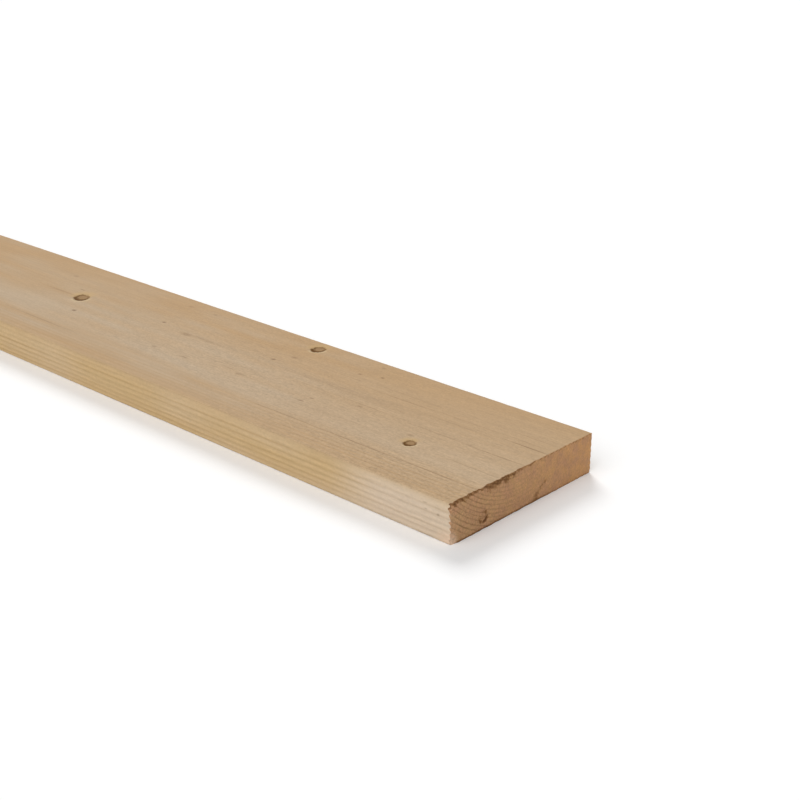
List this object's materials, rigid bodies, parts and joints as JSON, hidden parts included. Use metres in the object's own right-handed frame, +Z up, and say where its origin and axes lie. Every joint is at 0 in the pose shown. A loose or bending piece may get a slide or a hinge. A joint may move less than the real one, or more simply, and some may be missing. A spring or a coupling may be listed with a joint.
{
  "type": "timber plank",
  "caption": "Rough-sawn softwood plank, a long flat board with knots, sharp sawn arrises and cross-cut ends, for boarding, shelving, shuttering and general carpentry.",
  "frame": {"origin": "under the middle of the plank, on its underside", "axes": "+X along the grain to the near end, +Y across the width from the front edge to the back edge, +Z up through the thickness"},
  "size_m": [1.8, 0.1249, 0.025],
  "materials": {
    "sawn_spruce": "sawn, unplaned and untreated"
  },
  "bodies": {
    "root": {"plank": "sawn_spruce"}
  },
  "joints": []
}
